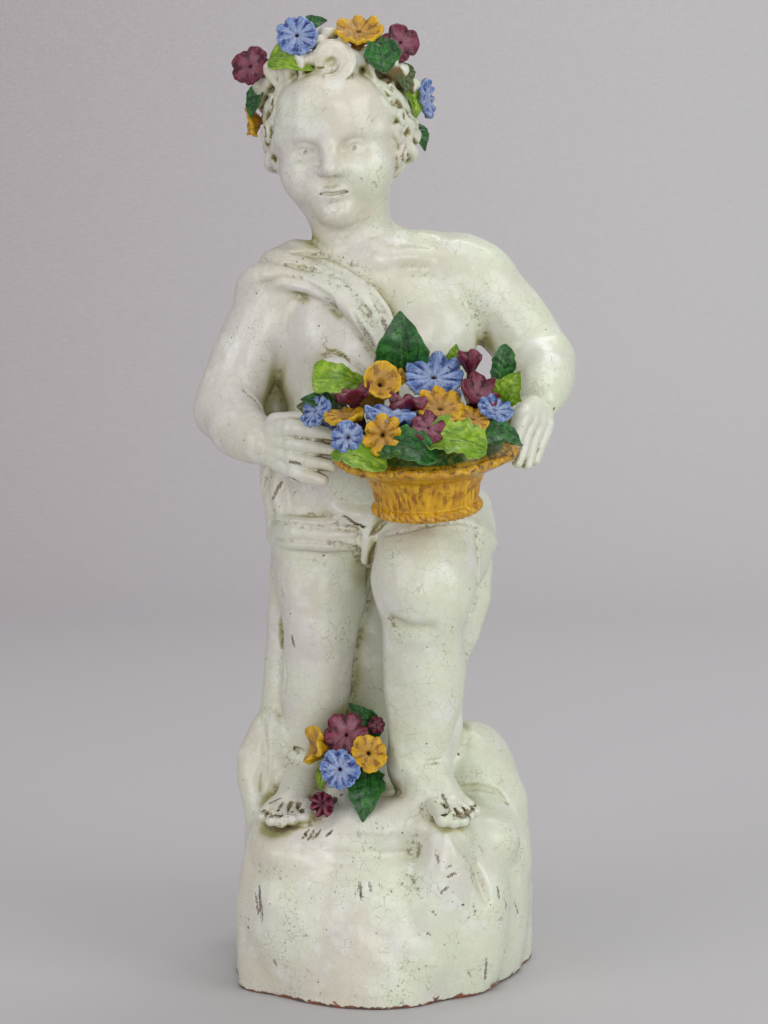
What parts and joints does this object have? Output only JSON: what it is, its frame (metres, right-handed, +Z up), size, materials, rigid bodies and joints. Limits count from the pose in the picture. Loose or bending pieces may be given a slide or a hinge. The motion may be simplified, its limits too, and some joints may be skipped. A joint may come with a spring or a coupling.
{
  "type": "ceramic putto figure",
  "caption": "Glazed earthenware child figure on a rocky mound, wreathed with flowers and holding a flared basket of modelled flowers and leaves.",
  "frame": {"origin": "on the flat underside of the mound, below the middle of the figure", "axes": "+Z up along the height, -Y towards the viewer whom the figure faces, +X to the viewer's right"},
  "size_m": [0.3044, 0.3304, 0.7801],
  "materials": {
    "white_glaze": "glossy crackled off-white tin glaze, dirt in the recesses",
    "ochre_glaze": "glossy ochre glaze with brown strokes",
    "blue_glaze": "glossy blue glaze, streaked with white",
    "purple_glaze": "glossy manganese purple glaze",
    "yellow_glaze": "glossy antimony yellow glaze",
    "dark_green_glaze": "glossy dark copper green glaze",
    "lime_green_glaze": "glossy light yellow-green glaze",
    "olive_glaze": "glossy olive glaze"
  },
  "bodies": {
    "root": {"basket_flower_back_blue": "blue_glaze", "basket_flower_back_yellow": "yellow_glaze", "basket_flower_blue_right": "blue_glaze", "basket_flower_far_blue_left": "blue_glaze", "basket_flower_flat_blue_middle": "blue_glaze", "basket_flower_flat_purple_left": "purple_glaze", "basket_flower_flat_purple_middle": "purple_glaze", "basket_flower_flat_yellow_left": "yellow_glaze", "basket_flower_large_blue": "blue_glaze", "basket_flower_large_yellow": "yellow_glaze", "basket_flower_low_blue_left": "blue_glaze", "basket_flower_low_purple_middle": "purple_glaze", "basket_flower_low_yellow_middle": "yellow_glaze", "basket_flower_low_yellow_right": "yellow_glaze", "basket_flower_open_purple": "purple_glaze", "basket_flower_small_yellow": "yellow_glaze", "basket_flower_tall_purple": "purple_glaze", "basket_flower_yellow_trumpet": "yellow_glaze", "basket_leaf_dark_low_middle": "dark_green_glaze", "basket_leaf_dark_low_right": "dark_green_glaze", "basket_leaf_dark_right_upright": "dark_green_glaze", "basket_leaf_large_lime_low_right": "lime_green_glaze", "basket_leaf_lime_low_left": "lime_green_glaze", "basket_leaf_lime_right": "lime_green_glaze", "basket_leaf_long_lime_left": "lime_green_glaze", "basket_leaf_olive_far_left": "olive_glaze", "basket_leaf_small_lime_back": "lime_green_glaze", "basket_leaf_tall_dark": "dark_green_glaze", "basket_leaf_teal_far_left": "dark_green_glaze", "flower_basket": "ochre_glaze", "posy_flower_blue": "blue_glaze", "posy_flower_purple": "purple_glaze", "posy_flower_purple_bud": "purple_glaze", "posy_flower_small_purple": "purple_glaze", "posy_flower_yellow_left": "yellow_glaze", "posy_flower_yellow_right": "yellow_glaze", "posy_leaf_dark_low": "dark_green_glaze", "posy_leaf_dark_top": "dark_green_glaze", "posy_leaf_lime": "lime_green_glaze", "putto_figure": "white_glaze", "wreath_flower_blue_back": "blue_glaze", "wreath_flower_blue_front": "blue_glaze", "wreath_flower_blue_right": "blue_glaze", "wreath_flower_purple_back": "purple_glaze", "wreath_flower_purple_left": "purple_glaze", "wreath_flower_purple_right": "purple_glaze", "wreath_flower_yellow_back": "yellow_glaze", "wreath_flower_yellow_front": "yellow_glaze", "wreath_flower_yellow_left": "yellow_glaze", "wreath_leaf_dark_back_left": "dark_green_glaze", "wreath_leaf_dark_front": "dark_green_glaze", "wreath_leaf_dark_low_left": "dark_green_glaze", "wreath_leaf_dark_low_right": "dark_green_glaze", "wreath_leaf_dark_top": "dark_green_glaze", "wreath_leaf_lime_back_right": "lime_green_glaze", "wreath_leaf_lime_left": "lime_green_glaze", "wreath_leaf_lime_right": "lime_green_glaze", "wreath_leaf_olive_right": "olive_glaze"}
  },
  "joints": []
}
